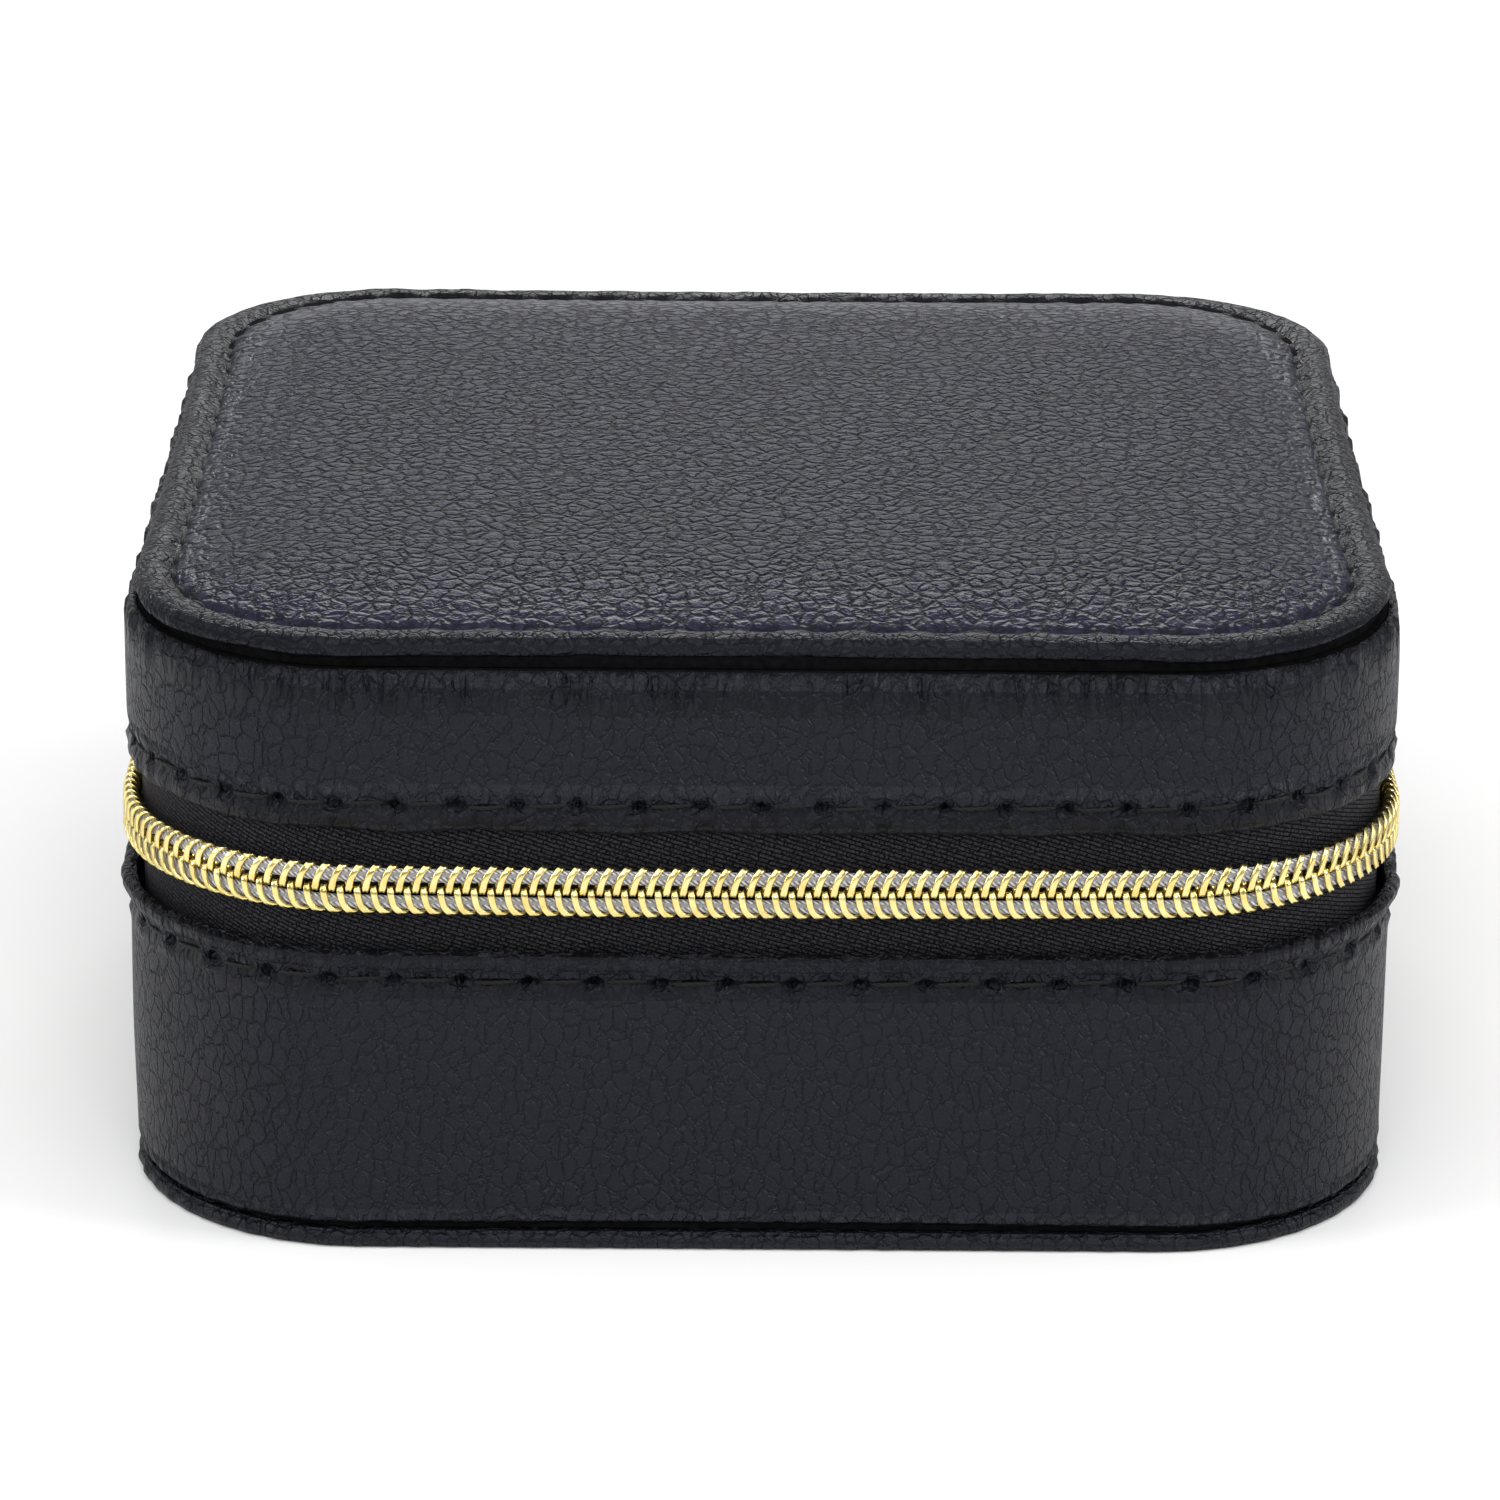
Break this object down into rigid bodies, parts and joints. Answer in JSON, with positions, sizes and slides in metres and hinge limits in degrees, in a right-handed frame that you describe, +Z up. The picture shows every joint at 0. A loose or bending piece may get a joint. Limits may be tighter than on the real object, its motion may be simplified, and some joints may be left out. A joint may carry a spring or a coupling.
{
  "type": "jewellery case",
  "caption": "Square zip-up leather travel jewellery case with rounded corners, a hinged padded lid, ring rolls, loose dividers, a gathered pocket and necklace straps.",
  "frame": {"origin": "centre of the resting face on the underside of the bottom panel", "axes": "+X to the right as seen from the front, +Y from the front to the leather hinge at the rear, +Z up through the lid"},
  "size_m": [0.1045, 0.0986, 0.052],
  "materials": {
    "black_leather": "pebbled full-grain leather, low sheen",
    "spine_leather": "thin supple leather",
    "board": "dense grey board",
    "foam": "soft foam",
    "velvet": "taupe velvet pile",
    "pocket_fabric": "taupe satin",
    "zip_tape": "black woven twill tape",
    "gold_coil": "metallised gold coil",
    "gold_metal": "polished gold-coloured zinc",
    "thread": "black waxed thread"
  },
  "bodies": {
    "base": {"base_bottom_board": "board", "base_bottom_leather": "black_leather", "base_lining_floor": "velvet", "base_lining_wall": "velvet", "base_wall_board": "board", "base_wall_leather": "black_leather", "base_wall_stitch": "thread", "partition": "velvet", "ring_roll_1": "velvet", "ring_roll_2": "velvet", "ring_roll_3": "velvet", "ring_roll_4": "velvet", "ring_roll_5": "velvet", "ring_roll_6": "velvet", "spine_leather": "spine_leather", "zip_coil_lower": "gold_coil", "zip_stop_lower": "gold_metal", "zip_tape_lower": "zip_tape"},
    "lid": {"hook_anchors": "black_leather", "hook_studs": "gold_metal", "lid_lining_panel": "velvet", "lid_lining_wall": "velvet", "lid_pocket": "pocket_fabric", "lid_pocket_hem": "pocket_fabric", "lid_seam_stitch": "thread", "lid_top_board": "board", "lid_top_foam": "foam", "lid_top_leather": "black_leather", "lid_wall_board": "board", "lid_wall_leather": "black_leather", "lid_wall_stitch": "thread", "zip_coil_upper": "gold_coil", "zip_stop_upper": "gold_metal", "zip_tape_upper": "zip_tape"},
    "slider": {"zip_slider": "gold_metal"},
    "puller": {"zip_puller": "gold_metal"},
    "divider_front": {"divider_front": "velvet"},
    "divider_rear": {"divider_rear": "velvet"},
    "strap_left": {"hook_strap_left": "black_leather", "hook_snap_left": "gold_metal"},
    "strap_middle": {"hook_strap_middle": "black_leather", "hook_snap_middle": "gold_metal"},
    "strap_right": {"hook_strap_right": "black_leather", "hook_snap_right": "gold_metal"}
  },
  "joints": [
    {"name": "lid_hinge", "type": "hinge", "parent": "base", "child": "lid", "pos_m": [0, 0.0476, 0.0306], "axis": [-1, 0, 0], "range_deg": [0, 120], "deforming": ["spine_leather"]},
    {"name": "slider_travel", "type": "slide", "parent": "base", "child": "slider", "axis": [0, -1, 0], "range_m": [0, 0.049]},
    {"name": "puller_swing", "type": "hinge", "parent": "slider", "child": "puller", "pos_m": [0.05245, 0.0254, 0.0305], "axis": [0, 0, -1], "range_deg": [0, 170]},
    {"name": "divider_front_lift", "type": "slide", "parent": "base", "child": "divider_front", "axis": [0, 0, 1], "range_m": [0, 0.0175]},
    {"name": "divider_rear_lift", "type": "slide", "parent": "base", "child": "divider_rear", "axis": [0, 0, 1], "range_m": [0, 0.0175]},
    {"name": "strap_left_fold", "type": "hinge", "parent": "lid", "child": "strap_left", "pos_m": [-0.024, -0.0397, 0.04435], "axis": [-1, 0, 0], "range_deg": [0, 78]},
    {"name": "strap_middle_fold", "type": "hinge", "parent": "lid", "child": "strap_middle", "pos_m": [0, -0.0397, 0.04435], "axis": [-1, 0, 0], "range_deg": [0, 78]},
    {"name": "strap_right_fold", "type": "hinge", "parent": "lid", "child": "strap_right", "pos_m": [0.024, -0.0397, 0.04435], "axis": [-1, 0, 0], "range_deg": [0, 78]}
  ]
}
